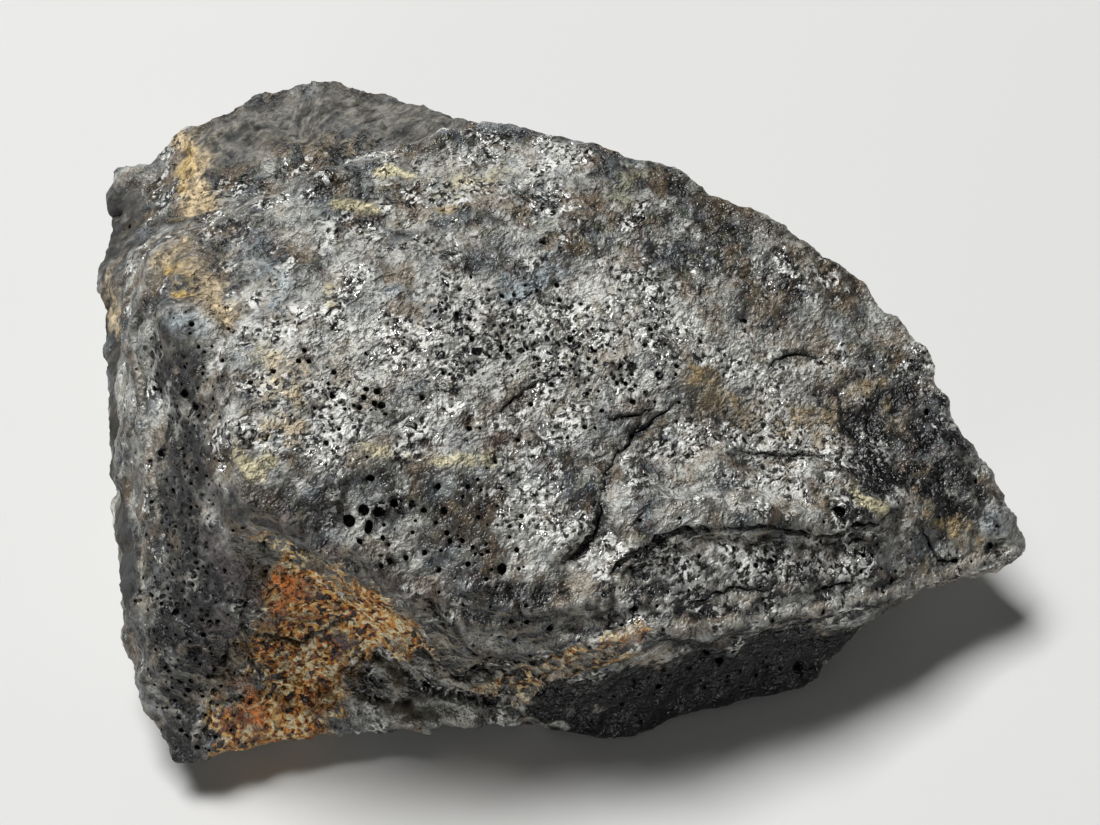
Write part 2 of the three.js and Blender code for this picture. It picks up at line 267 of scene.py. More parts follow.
# radius and height in millimetres of each bead, fold, groove and knob, and where it runs
strokes = [
    (1.6, 0.4, top_edge), (2.4, -0.8, behind_top_edge),
    (1.5, 0.5, ledge_lip), (2.4, 0.35, apron_swell),
    (0.45, 0.5, rim), (0.8, -0.6, under_rim),
    (0.5, 0.45, long_crest), (0.5, 0.4, outer_crest), (0.5, -0.35, between_crests), (0.9, -0.5, above_band_knob),
    (0.5, 0.3, band_knob_edge), (2.8, 0.9, band_knob), (0.9, 0.3, band_edge), (3.0, 0.9, tip_swell),
    (0.8, 0.35, hollow_lip), (1.0, 0.7, foot_edge), (1.0, 0.3, nose_fold),
    (1.0, 0.8, lip_knobs[0]), (0.9, 0.7, lip_knobs[1]), (0.9, 0.7, lip_knobs[2]),
    (0.8, 0.6, nose_knob), (0.6, -0.3, nose_valley), (0.9, 0.4, nose_swells[0]), (0.45, 0.3, ledge_knob),
    (0.9, 0.4, nose_swells[1]), (0.55, -0.4, ring_groove), (1.2, -0.35, top_dents[0]), (1.0, -0.35, top_dents[1]),
]
strokes += [(0.55, -0.8, fold) for fold in hollow_folds]
strokes += [(0.5, 0.6, ridge) for ridge in hollow_ridges]
strokes += [(0.45, -0.35, streak) for streak in foot_streaks]
strokes += [(0.8, 0.3, [(across, down), (across + 1, down)]) for across, down in big_pits]
strokes += [(2.0, 0.6, scallop) for scallop in scallops]
push(stone, strokes)

points = vertices_of(stone.data)
above_sole = np.clip(points[:, 2] / (1.5 * MM), 0, 1)
near_hollow = np.clip(1.6 - distance_to(run_on_stone(*hollow_middle), points) / (9 * MM), 0, 1)
beside_rim = np.clip(distance_to(run_on_stone(*rim), points) / (1.0 * MM) - 0.4, 0, 1)
weigh(stone, "above_sole", above_sole)
weigh(stone, "rough", above_sole * beside_rim)
weigh(stone, "crusted", above_sole * near_hollow * beside_rim)

# 0.3 mm more all over, for what the rounding took, then swells 4.2 mm wide, lumps 1.7 mm wide,
# the hollow's crumbs 0.9 mm wide and grit 0.6 mm wide
perlin = {"noise_basis": "IMPROVED_PERLIN"}
finish_with(stone, "DISPLACE", strength=0.3 * MM, mid_level=0, vertex_group="above_sole")
roughen(stone, 1.2, "rough", "CLOUDS", noise_scale=4.2 * MM, noise_depth=2, **perlin)
roughen(stone, 0.85, "rough", "CLOUDS", noise_scale=1.7 * MM, noise_depth=1, **perlin)
roughen(stone, 0.7, "crusted", "CLOUDS", noise_scale=0.9 * MM, noise_depth=2, noise_type="HARD_NOISE", **perlin)
roughen(
    stone, 0.25, "rough", "CLOUDS", noise_scale=0.6 * MM, noise_depth=1, noise_type="HARD_NOISE",
    noise_basis="ORIGINAL_PERLIN",
)

# ---------------------------------------------------------------- cracks
# Fine cracks that opened in the rock's skin as it cooled: a forked one down the middle, a wider one under the
# ledge and short ones around them. Each is cut by a thin jagged blade that follows its run.
surface = BVHTree.FromObject(stone, bpy.context.evaluated_depsgraph_get())

# width and depth in millimetres, then the places, which with three numbers are in millimetres too
cracks = [
    (0.28, 1.1, [(672, 404), (655, 420), (640, 431), (622, 450), (605, 470)]),
    (0.25, 0.9, [(602, 505), (601, 520), (590, 540), (578, 556)]),
    (0.3, 0.7, [(920, 528), (930, 545), (938, 562), (953, 560)]),
    (0.2, 0.5, [(738, 450), (770, 454), (800, 455), (822, 456)]),
    (0.25, 0.5, [(768, 366), (785, 356), (800, 352), (816, 358)]),
    (0.25, 0.6, [(500, 412), (515, 398), (530, 386), (552, 376)]),
    (0.35, 0.7, [(258, 634), (275, 637), (300, 643), (325, 630), (345, 618)]),
    (0.25, 0.5, [(690, 606), (712, 596), (735, 588), (768, 590)]),
    (0.3, 0.5, [(820, 590), (835, 584), (852, 583)]),
    (0.4, 0.8, [(-14, 24, 14), (-7, 24, 12), (0, 22, 11), (5, 20, 12), (12, 19, 9)]),
    (0.3, 0.6, [(-36, 2, 6), (-36, 8, 9), (-36, 13, 8)]),
    (1.2, 1.5, [(614, 572), (626, 560), (650, 549), (665, 537), (690, 530), (712, 531)]),
    (0.5, 1.0, [(720, 530), (740, 529), (770, 527), (800, 534), (830, 538), (850, 527), (880, 523), (896, 510)]),
]
# it crosses the first crack, so it is cut after it
side_cracks = [(0.25, 0.5, [(608, 419), (630, 416), (652, 411)])]


def blade(width, depth, places):
    """The points and faces of a blade that follows a run, from just above the stone down to an edge under it."""
    run = [on_stone(*place) for place in places]
    rng = random.Random(places[0][0])
    fine = []
    for (a, na), (b, nb) in zip(run, run[1:]):
        steps = max(1, round((b - a).length / (0.5 * MM)))
        fine += [(a.lerp(b, i / steps), na.lerp(nb, i / steps).normalized()) for i in range(steps)]
    fine.append(run[-1])
    last = len(fine) - 1
    points, faces = [], [(4, 3, 2, 1, 0), tuple(range(5 * last, 5 * last + 5))]
    for i, (place, normal) in enumerate(fine):
        along = fine[min(i + 1, last)][0] - fine[max(i - 1, 0)][0]
        side = along.cross(normal).normalized()
        taper = math.sin(math.pi * (i + 0.5) / (last + 1)) ** 0.5
        half = side * width / 2 * MM * taper * rng.uniform(0.45, 1.5)
        deep = normal * depth * MM * taper * rng.uniform(0.8, 1.1)
        place = place + side * rng.uniform(-0.2, 0.2) * MM
        above = place + normal * 0.8 * MM
        points += [above + half * 1.6, above - half * 1.6, place - half * 0.8, place - deep, place + half * 0.8]
        if i < last:
            faces += [(5 * i + k, 5 * i + (k + 1) % 5, 5 * i + (k + 1) % 5 + 5, 5 * i + k + 5) for k in range(5)]
    return points, faces


def cutter_of(pieces):
    """One object of many closed pieces, each given by its points and faces."""
    points, faces = [], []
    for piece_points, piece_faces in pieces:
        start = len(points)
        points += [tuple(p) for p in piece_points]
        faces += [tuple(start + i for i in face) for face in piece_faces]
    mesh = bpy.data.meshes.new("cutter")
    mesh.from_pydata(points, [], faces)
    cutter = bpy.data.objects.new("cutter", mesh)
    bpy.context.scene.collection.objects.link(cutter)
    only(cutter)
    bpy.ops.object.mode_set(mode="EDIT")
    bpy.ops.mesh.select_all(action="SELECT")
    bpy.ops.mesh.normals_make_consistent(inside=False)
    bpy.ops.object.mode_set(mode="OBJECT")
    return cutter


def cut(piece, cutter):
    """Takes a cutter away from a piece."""
    finish_with(piece, "BOOLEAN", object=cutter, operation="DIFFERENCE", solver="MANIFOLD")
    bpy.data.objects.remove(cutter)


cut(stone, cutter_of([blade(*crack) for crack in cracks]))
cut(stone, cutter_of([blade(*crack) for crack in side_cracks]))

# ---------------------------------------------------------------- gas pits
# Round pits, left open where gas bubbles reached the skin: a cluster of five large ones over the hollow, single
# ones around it, and hundreds of fine ones in the frothy parts. Each is cut by a ball sunk to half its radius.

# diameter in millimetres, then the places
pits = {
    1.05: [(368, 526), (349, 521), (501, 569), (840, 511)],
    0.9: [(364, 510), (381, 512), (706, 653)],
    0.75: [(394, 504), (719, 660), (954, 561), (925, 412), (195, 406)],
    0.6: [
        (184, 394), (371, 478), (438, 486), (360, 542), (390, 561), (444, 511), (990, 545), (154, 389), (377, 392),
        (382, 405), (633, 402), (161, 453), (771, 561), (809, 622), (782, 624), (892, 580), (550, 628), (659, 687),
        (175, 612),
    ],
    0.48: [
        (366, 389), (364, 397), (374, 403), (379, 411), (366, 482), (440, 570), (468, 564), (517, 550), (447, 533),
        (450, 541), (518, 440), (621, 365), (636, 401), (173, 491), (198, 416), (824, 612), (976, 481), (634, 609),
        (383, 538), (406, 558), (745, 321), (542, 243), (460, 290), (457, 314), (527, 622), (585, 427), (617, 383),
        (570, 340),
    ],
    0.36: [
        (354, 405), (345, 409), (386, 414), (384, 525), (389, 545), (510, 537), (519, 569), (480, 428), (481, 490),
        (509, 475), (655, 402), (640, 520), (680, 518), (151, 502), (135, 453), (215, 459), (232, 522), (233, 531),
        (195, 577), (446, 309), (572, 339), (574, 331), (559, 345), (824, 522), (734, 548), (899, 503), (660, 553),
        (632, 609), (657, 606), (622, 625), (778, 329), (475, 372), (645, 392), (997, 526), (811, 532), (228, 615),
        (150, 562),
    ],
}

# how far fine pits stray in millimetres, how many there are, and the run that they lie along
porous_runs = [
    (2.2, 420, [(175, 350), (190, 420), (180, 500), (195, 560), (170, 620)]),
    (2.2, 150, [(170, 620), (190, 680), (195, 730)]),
    (2.5, 90, [(470, 640), (540, 670), (620, 690)]),
    (3.5, 70, [(-8, 25, 10), (4, 22, 8), (14, 18, 12)]),
    (3.0, 60, [(-36, -8, 10), (-36, 5, 8), (-34, 18, 6)]),
    (3.0, 120, [(450, 330), (560, 350), (620, 380)]),
    (2.0, 40, [(360, 400), (345, 395)]),
    (2.0, 60, [(400, 540), (500, 560), (450, 520)]),
    (2.0, 60, [(660, 580), (760, 570), (860, 560), (960, 540)]),
    (2.0, 40, [(650, 680), (720, 670), (800, 650)]),
]

rng = random.Random(3)
wanted = [(*on_stone(*place), diameter / 2 * MM) for diameter, places in pits.items() for place in places]
for stray, count, places in porous_runs:
    run = [on_stone(*place)[0] for place in places]
    for _ in range(count):
        k = rng.randrange(len(run) - 1)
        near = run[k].lerp(run[k + 1], rng.random()) + Vector([rng.gauss(0, stray * MM) for _ in range(3)])
        place = surface.find_nearest(near)[0]
        wanted.append((place, facing(place), rng.uniform(0.1, 0.24) * MM))

# no two pits meet
thinnest_wall = 0.03 * MM
kept = []
for place, normal, radius in wanted:
    if all((place - other).length > radius + other_radius + thinnest_wall for other, _, other_radius in kept):
        kept.append((place, normal, radius))


def ball(subdivisions):
    """The points and faces of a ball with a radius of 1."""
    bpy.ops.mesh.primitive_ico_sphere_add(subdivisions=subdivisions, radius=1)
    shape = bpy.context.object
    points_and_faces = vertices_of(shape.data), [tuple(face.vertices) for face in shape.data.polygons]
    bpy.data.objects.remove(shape)
    return points_and_faces


large_ball, small_ball = ball(2), ball(1)
large_from = 0.22 * MM
unevenness = (0.93, 1.07)
deeper = 1.35
sunk = 0.5
balls = []
for place, normal, radius in kept:
    turn = normal.to_track_quat("Z", "Y").to_matrix()
    ball_points, ball_faces = large_ball if radius > large_from else small_ball
    placed = []
    for point in ball_points:
        point = Vector(point) * radius * rng.uniform(*unevenness)
        point.z *= deeper
        placed.append(turn @ point + place - normal * radius * sunk)
    balls.append((placed, ball_faces))
cut(stone, cutter_of(balls))
stone.vertex_groups.clear()

most_triangles = 195000
triangles = sum(len(face.vertices) - 2 for face in stone.data.polygons)
if triangles > most_triangles:
    finish_with(stone, "DECIMATE", ratio=most_triangles / triangles)

# ---------------------------------------------------------------- colours
# What weather and iron left on the rock: ochre, tan and straw films, rust in the hollow, blue-grey and plum skins,
# and ash grey on the back, and beside them painted shade and painted light. They are kept as attributes of the
# mesh, so they stay on the stone from every side.
def linear(hex_colour):
    """An sRGB hex colour as the linear numbers that a shader takes."""
    parts = [int(hex_colour[i:i + 2], 16) / 255 for i in (1, 3, 5)]
    return [c / 12.92 if c <= 0.04045 else ((c + 0.055) / 1.055) ** 2.4 for c in parts] + [1]


ochre, tan, straw, olive, orange, rust, umber = (
    "#b99b58", "#cbb690", "#cfc6a0", "#94957a", "#e8872a", "#9a4f22", "#54392a",
)
cream, ash, maroon, gold, blue_grey, pale_and_lit, plum, white = (
    "#d9c9a0", "#7d7a71", "#4a1d10", "#a98c50", "#a5b1b6", "#d2dcda", "#4d4146", "#f0f1ec",
)
bare_rock = "#6b6966"

# colour, radius in millimetres, strength, and where it runs
stains = [
    (ash, 6.5, 0.68, [(215, 150), (260, 130), (310, 118), (370, 112), (440, 124)]),
    (ash, 3.0, 0.4, [(118, 200), (118, 280), (112, 330)]),
    (tan, 2.4, 1.0, [(182, 140), (190, 165), (197, 190), (205, 210)]),
    (ochre, 1.2, 0.8, [(188, 150), (186, 185)]),
    (tan, 2.0, 0.5, [(285, 152), (320, 157), (350, 152)]),
    (tan, 2.6, 0.8, [(172, 255), (200, 285), (215, 318)]),
    (ochre, 1.2, 1.0, [(170, 268), (182, 292)]),
    (tan, 2.2, 0.5, [(225, 235), (235, 300)]),
    (straw, 1.4, 1.0, [(340, 206), (370, 208)]),
    (straw, 1.2, 0.9, [(385, 172), (412, 177)]),
    (straw, 2.2, 0.6, [(435, 190), (470, 185), (505, 172)]),
    (ochre, 1.2, 0.6, [(440, 207), (455, 210)]),
    (straw, 1.1, 0.9, [(325, 288), (330, 302)]),
    (olive, 1.8, 0.7, [(615, 195), (640, 178)]),
    (cream, 2.4, 0.6, [(262, 352), (275, 385), (262, 430)]),
    (tan, 2.4, 0.6, [(300, 370), (300, 420), (285, 440)]),
    (straw, 1.3, 1.0, [(268, 462), (245, 470), (240, 455)]),
    (straw, 1.0, 0.8, [(368, 446), (400, 456), (440, 462), (490, 456)]),
    (umber, 1.0, 0.7, [(378, 438), (430, 446), (500, 440), (540, 432)]),
    (gold, 3.0, 0.62, [(702, 374), (722, 398), (745, 412)]),
    (gold, 2.8, 0.55, [(790, 428), (835, 418)]),
    (ochre, 3.0, 0.55, [(850, 380), (880, 392)]),
    (tan, 2.6, 0.3, [(620, 430), (660, 450), (700, 440)]),
    (straw, 1.3, 0.9, [(865, 498), (882, 512)]),
    (ochre, 2.0, 0.6, [(935, 518), (965, 530), (980, 538)]),
    (umber, 2.0, 0.6, [(262, 515), (300, 528), (345, 552), (385, 577), (430, 602)]),
    (umber, 1.6, 0.5, [(600, 415), (640, 400), (660, 395)]),
    (umber, 1.6, 0.5, [(440, 300), (480, 310), (520, 330)]),
    (umber, 2.0, 0.35, [(330, 220), (380, 260), (420, 250)]),
    (blue_grey, 1.6, 0.7, [(165, 325), (188, 320), (205, 332)]),
    (blue_grey, 2.4, 0.6, [(250, 250), (290, 300), (265, 325)]),
    (blue_grey, 2.4, 0.8, [(515, 290), (555, 268)]),
    (blue_grey, 1.6, 0.7, [(395, 295), (425, 305)]),
    (blue_grey, 2.2, 0.5, [(835, 310), (850, 345)]),
    (blue_grey, 1.5, 0.7, [(985, 522), (1003, 530)]),
    (white, 0.9, 1.0, [(438, 396), (450, 402), (462, 408)]),
    (white, 1.6, 0.6, [(480, 345), (520, 350), (545, 335)]),
    (white, 1.6, 0.6, [(620, 272), (655, 270), (670, 290)]),
    (white, 1.4, 0.6, [(340, 410), (345, 435)]),
    (white, 1.4, 0.5, [(300, 480), (330, 490)]),
    (white, 0.8, 0.8, [(668, 490), (690, 486)]),
    (blue_grey, 1.3, 0.5, [(690, 652), (712, 650), (733, 656)]),
    (plum, 2.6, 0.7, [(205, 540), (235, 575), (225, 620), (205, 660)]),
    (orange, 1.5, 0.85, [(272, 582), (296, 588), (282, 606)]),
    (maroon, 1.1, 0.85, [(258, 592), (262, 606)]),
    (maroon, 0.9, 0.8, [(306, 582), (316, 598)]),
    (maroon, 1.2, 0.6, [(300, 600), (275, 625)]),
    (rust, 2.0, 0.7, [(240, 692), (258, 712), (240, 728)]),
    (orange, 1.2, 0.6, [(250, 700), (262, 715)]),
    (orange, 0.8, 0.8, [(322, 686), (330, 690)]),
    (plum, 1.3, 0.9, [(336, 640), (350, 648)]),
    (plum, 2.2, 0.5, [(220, 500), (225, 525), (215, 545)]),
    (olive, 1.8, 0.5, [(415, 640), (430, 655)]),
    (rust, 0.6, 0.7, [(560, 674), (590, 660), (636, 640)]),
    # the light patch on the foot's lip, partly its own colour and partly painted light
    (pale_and_lit, 2.0, 1.0, [(395, 706), (425, 712), (466, 712)]),
    (ochre, 2.6, 0.7, [(-20, 28, 10), (-12, 26, 7)]),
    (rust, 2.4, 0.6, [(6, 22, 5), (12, 19, 8)]),
    (tan, 2.6, 0.6, [(-36, 6, 12), (-36, 12, 10)]),
]
points = vertices_of(stone.data)
wandering = shaken(shaken(points, 2.0 * MM, 1.1 * MM), 0.7 * MM, 0.5 * MM)


def closeness(places, radius):
    """How near each point of the stone is to a run, from 0 at the radius to 1 well inside, with a ragged edge."""
    astray = points + (wandering - points) * min(1, radius / 2)
    return np.clip(1.4 * (1 - distance_to(run_on_stone(*places), astray) / (radius * MM)), 0, 1)


def attribute(mesh, name, values):
    """Gives each point of a mesh a number, or with four columns a colour."""
    kind, field = ("FLOAT", "value") if values.ndim == 1 else ("FLOAT_COLOR", "color")
    layer = mesh.attributes.new(name, kind, "POINT")
    layer.data.foreach_set(field, values.astype(np.float32).ravel())


colour = np.tile(linear(bare_rock)[:3], (len(points), 1))
cover = np.zeros(len(points))
for hex_colour, radius, strength, places in stains:
    share = closeness(places, radius) * strength
    colour += share[:, None] * (linear(hex_colour)[:3] - colour)
    cover = np.maximum(cover, share)
attribute(stone.data, "stain", np.hstack([colour, cover[:, None]]))

# painted shade, black inside: a pit from 0.15 mm down, a crack down to its floor
black_from = 0.15 * MM
widest_reach = 0.8 * MM
pit_tree = kdtree.KDTree(len(kept))
for i, (place, normal, radius) in enumerate(kept):
    pit_tree.insert(place - normal * radius * sunk, i)
pit_tree.balance()
inside = np.zeros(len(points))
for i, point in enumerate(points):
    for _, k, away in pit_tree.find_range(Vector(point), widest_reach):
        place, normal, radius = kept[k]
        if away < radius * 1.5:
            depth = (place - Vector(point)).dot(normal)
            inside[i] = max(inside[i], min(1, max(0, depth / black_from)))
for width, depth, places in cracks + side_cracks:
    run = [on_stone(*place) for place in places]
    for share_of_depth, reach in ((0, 0.2), (0.4, 0.3), (0.8, 0.3)):
        line = np.array([place - normal * depth * share_of_depth * MM for place, normal in run])
        inside = np.maximum(inside, np.clip(1.6 - distance_to(line, points) / (reach * MM), 0, 1))
attribute(stone.data, "pit_and_crack_shade", inside)
attribute(stone.data, "from_layer_line", distance_to(run_on_stone(*layer_line), points) / MM)

# where the rock differs, and where shade and light are painted on it: radius in millimetres, strength, and where
# it runs
zones = {
    "silver": [
        (5.0, 1.0, [(280, 320), (420, 330), (540, 340), (640, 300), (600, 400)]),
        (5.0, 0.9, [(270, 420), (330, 400), (450, 410), (560, 400)]),
        (4.0, 0.8, [(250, 330), (300, 300), (350, 250)]),
        (4.0, 0.6, [(400, 200), (500, 180), (560, 160)]),
        (5.0, 0.8, [(650, 330), (750, 360), (820, 420), (700, 460)]),
        (3.0, 0.8, [(620, 480), (700, 490), (780, 480)]),
        (3.0, 1.35, [(640, 580), (740, 565), (840, 560)]),
        (3.0, 1.3, [(540, 490), (560, 540), (530, 570)]),
        (2.5, 1.2, [(600, 575), (602, 605)]),
    ],
    "rusty": [
        (3.2, 1.0, [(290, 588), (330, 612), (345, 635)]),
        (2.8, 1.0, [(360, 595), (395, 620), (405, 638)]),
        (4.2, 1.0, [(285, 640), (305, 670), (290, 705), (262, 725)]),
        (2.4, 1.0, [(246, 732), (255, 715)]),
        (1.8, 0.35, [(262, 540), (300, 552), (345, 575), (385, 598)]),
        (0.8, 0.8, [(480, 692), (520, 675), (560, 658), (600, 645), (640, 634)]),
        (1.5, 0.45, [(520, 690), (570, 672), (620, 656)]),
    ],
    "porous": [
        (4, 1, [(160, 350), (190, 420), (180, 500), (195, 560), (170, 620), (190, 730)]),
        (4.5, 0.8, [(440, 330), (560, 350), (640, 380)]),
        (3, 0.6, [(340, 400), (380, 400)]),
        (4, 0.3, [(640, 560), (760, 560), (900, 560)]),
        (4, 0.9, [(440, 660), (540, 680), (640, 680), (720, 670)]),
    ],
    "layered": [
        (2.4, 0.6, [(250, 520), (300, 545), (350, 575), (400, 612)]),
        (3.2, 1.0, [(430, 630), (470, 670), (530, 672), (600, 652)]),
        (2.4, 0.9, [(380, 680), (430, 684), (490, 680)]),
        (2.2, 0.6, [(470, 612), (530, 628), (590, 620)]),
        (3.0, 0.8, [(170, 690), (205, 660), (240, 635)]),
    ],
    "dull": [
        (6, 1.0, [(230, 140), (290, 125), (360, 115), (440, 125)]),
        (4, 1.0, [(120, 210), (112, 320), (116, 430), (120, 520), (128, 600)]),
        (4.5, 0.7, [(175, 350), (190, 450), (195, 560), (170, 650), (180, 740)]),
        (3, 0.7, [(215, 500), (240, 520), (300, 530)]),
        (4, 0.6, [(600, 700), (700, 680), (800, 650)]),
        (4, 0.5, [(900, 420), (950, 460)]),
        (2.5, 0.6, [(480, 610), (540, 625), (600, 610)]),
        (4, 0.45, [(430, 540), (500, 570), (560, 590)]),
    ],
    # painted light: highlights along the rim, the crests, knobs and ridges, and light on the foot's lip
    "painted_edge_light": [
        (0.32, 1.0, rim),
        (0.25, 1.0, long_crest),
        (0.25, 1.0, outer_crest),
        (0.3, 0.8, band_knob_edge),
        (0.3, 0.5, [(168, 347), (200, 342), (232, 346)]),
        (1.1, 0.7, lip_knobs[0]),
        (0.9, 0.6, lip_knobs[2]),
        (0.7, 0.7, nose_knob),
        (0.8, 0.5, [(712, 506), (706, 509)]),
        (1.0, 0.5, [(620, 520), (626, 540)]),
        *[(0.4, 0.7, ridge) for ridge in hollow_ridges],
        (1.6, 0.9, [(400, 708), (430, 714), (466, 716)]),
    ],
    # painted shade: darker under the rim and the ledge, on the belly near the floor, in the folds, along the
    # shaded right edge and on the left band
    "shade": [
        (5, 0.56, [(880, 400), (920, 430), (950, 465), (975, 500)]),
        (3, 0.68, [(930, 500), (960, 520), (985, 530)]),
        (4, 0.7, [(845, 430), (885, 470), (870, 500)]),
        (2.5, 0.5, [(604, 580), (600, 610)]),
        (0.55, 1.0, [(636, 638), (655, 634), (680, 637), (750, 629), (790, 620), (850, 608), (890, 600)]),
        (0.5, 0.9, [(622, 572), (642, 558), (667, 543), (690, 535), (712, 535)]),
        (5, 1.0, [(590, 722), (640, 720), (700, 700), (760, 680), (820, 652)]),
        (5, 1.0, [(560, 705), (640, 690), (700, 675), (800, 650)]),
        (0.9, 1.0, [(760, 636), (800, 628), (812, 640)]),
        (0.8, 1.0, under_rim),
        (1.1, 0.62, [(600, 628), (640, 615), (680, 615), (740, 608), (800, 597), (850, 589), (885, 581)]),
        (3.5, 0.56, [(640, 590), (760, 575), (860, 565)]),
        (5, 0.6, [(170, 360), (190, 450), (200, 560), (170, 650), (180, 740)]),
        (3, 0.3, [(480, 600), (560, 610), (600, 600)]),
        (3, 0.35, [(440, 650), (500, 670), (560, 690)]),
        (0.5, 0.8, [(598, 505), (598, 525), (586, 545), (574, 560)]),
        (0.6, 0.5, [(665, 408), (640, 428), (612, 458), (602, 490)]),
        *[(0.7, 1.0, fold) for fold in hollow_folds[:4] + hollow_folds[5:6]],
    ],
}
for name, runs in zones.items():
    reach = np.zeros(len(points))
    for radius, strength, places in runs:
        reach = np.maximum(reach, closeness(places, radius) * strength)
    attribute(stone.data, name, reach)

# ---------------------------------------------------------------- the material
# One broken rock all through. To the eye it is a near-black melted skin with white crystals sparkling in it, a
# crumbly orange crust in the hollow, thin layers in the folded side and a froth of fine pores in front. Shade in
# its pits, cracks, folds and under its rim, light on its edges and part of its sparkle are painted into its
# colour.
material = bpy.data.materials.new("gas_pitted_stone")
material.use_nodes = True
tree = material.node_tree
tree.nodes.clear()


def add(kind, *values, output=None, **settings):
    """Adds a node with its settings, its values or links in the sockets' own order, and gives back one output."""
    node = tree.nodes.new("ShaderNode" + kind)
    for name, value in settings.items():
        setattr(node, name, value)
    for socket, value in zip([socket for socket in node.inputs if socket.enabled], values):
        if isinstance(value, bpy.types.NodeSocket):
            tree.links.new(value, socket)
        elif value is not None:
            socket.default_value = value
    shown = [socket for socket in node.outputs if socket.enabled and output in (socket.name, None)]
    return shown[0] if shown else node


# the place on the stone in millimetres, and the same drawn out along the flow of the once molten rock
place_mm = add("Mapping", add("TexCoord", output="Object"), None, None, (1000, 1000, 1000))
flow_way, flow_stretch = math.radians(45), 1.15
flow = add("Mapping", place_mm, None, (0, 0, flow_way), (flow_stretch, 1, 1), vector_type="TEXTURE")
waver_width, waver_reach = 0.8, 0.4
waver = add("TexNoise", flow, 1 / waver_width, 1, output="Color")
wobble = add("VectorMath", waver, (waver_reach,) * 3, flow, operation="MULTIPLY_ADD")
silver, rusty, porous, layered, dull, painted_edge_light, shade, pit_and_crack_shade, from_layer_line = [
    add("Attribute", attribute_name=name, output="Fac")
    for name in ("silver", "rusty", "porous", "layered", "dull", "painted_edge_light", "shade", "pit_and_crack_shade", "from_layer_line")
]
stain = add("Attribute", attribute_name="stain", output="Color")
stain_cover = stain.node.outputs["Alpha"]

# how wide crystal zones, patches, lumps, grain and single crystals are, in millimetres, and their fields
zone_width, patch_width, lump_width, grain_width, crystal_width = 5, 2.6, 1, 0.38, 0.4
zone = add("TexNoise", place_mm, 1 / zone_width, 1, 0.55, output="Color")
patch = add("TexNoise", wobble, 1 / patch_width, 2, 0.6, output="Color")
lump = add("TexNoise", wobble, 1 / lump_width, 3, 0.65, output="Fac")
grain = add("TexNoise", wobble, 1 / grain_width, 1, 0.6)
crystals = add("TexVoronoi", wobble, 1 / crystal_width, output="Color")
zone_light, zone_gloss, zone_tint = add("SeparateColor", zone).node.outputs
patch_light, patch_clear, patch_tint = add("SeparateColor", patch).node.outputs
lump_white, lump_tint = add("SeparateColor", lump.node.outputs["Color"]).node.outputs[1:]
chance, chance_dark, chance_rough = add("SeparateColor", crystals).node.outputs

# layers that follow the line they are measured from, and break off along it
layers_per_mm, breaks_per_mm = 1.7, 0.4
layer_place = add(
    "CombineXYZ",
    add("Math", from_layer_line, layers_per_mm, operation="MULTIPLY"),
    add("Math", add("SeparateXYZ", place_mm), breaks_per_mm, operation="MULTIPLY"),
)
layers = add("TexNoise", layer_place, 1, 2, 0.6, output="Fac")

# how far the surface is open crystals instead of a smooth melted skin
calm = add("Math", dull, 3, operation="POWER")
gloss = patch_clear
for field, weight in ((silver, 0.1), (dull, -0.3), (zone_gloss, 0.35)):
    gloss = add("Math", field, weight, gloss, operation="MULTIPLY_ADD")
open_crystals = add("MapRange", gloss, 0.68, 0.81, 0, 1, interpolation_type="SMOOTHSTEP")

# charcoal to ash grey
value = 0
for field, weight in ((lump, 0.5), (patch_light, 1.3), (zone_light, 0.8), (dull, -0.29), (silver, 0.28)):
    value = add("Math", field, weight, value, operation="MULTIPLY_ADD")
lightness = add("MapRange", value, 1.14, 1.68, 0, 1, interpolation_type="SMOOTHSTEP")
tone = add("Mix", lightness, linear("#2d2d2b"), linear("#dadad2"), data_type="RGBA")

# faint tints: the field, where a tint begins and where it is full, its share and its colour
vivid = add("Math", calm, -0.75, 1, operation="MULTIPLY_ADD")
for field, begins, full, share, tint in (
    (patch_tint, 0.52, 0.62, 0.6, "#86745c"),
    (patch_tint, 0.48, 0.36, 0.4, "#838d93"),
    (lump_tint, 0.56, 0.66, 0.6, "#54443f"),
    (lump_tint, 0.44, 0.34, 0.5, "#67694f"),
    (zone_tint, 0.54, 0.64, 0.3, "#7a6a52"),
):
    share = add("Math", vivid, share, operation="MULTIPLY")
    tinted = add("MapRange", field, begins, full, 0, share, interpolation_type="SMOOTHSTEP")
    tone = add("Mix", tinted, tone, linear(tint), data_type="RGBA")

# painted shade: near-black where the shade attribute is high, least on its light lumps
dark = add("Math", add("Math", lump, patch_light, operation="ADD"), 1, operation="SUBTRACT")
dark = add("Math", dark, -1.8, shade, operation="MULTIPLY_ADD")
dark = add("MapRange", dark, 0.28, 0.72, 0, 1, interpolation_type="SMOOTHSTEP")
tone = add("Mix", dark, tone, linear("#0c0c0d"), data_type="RGBA")

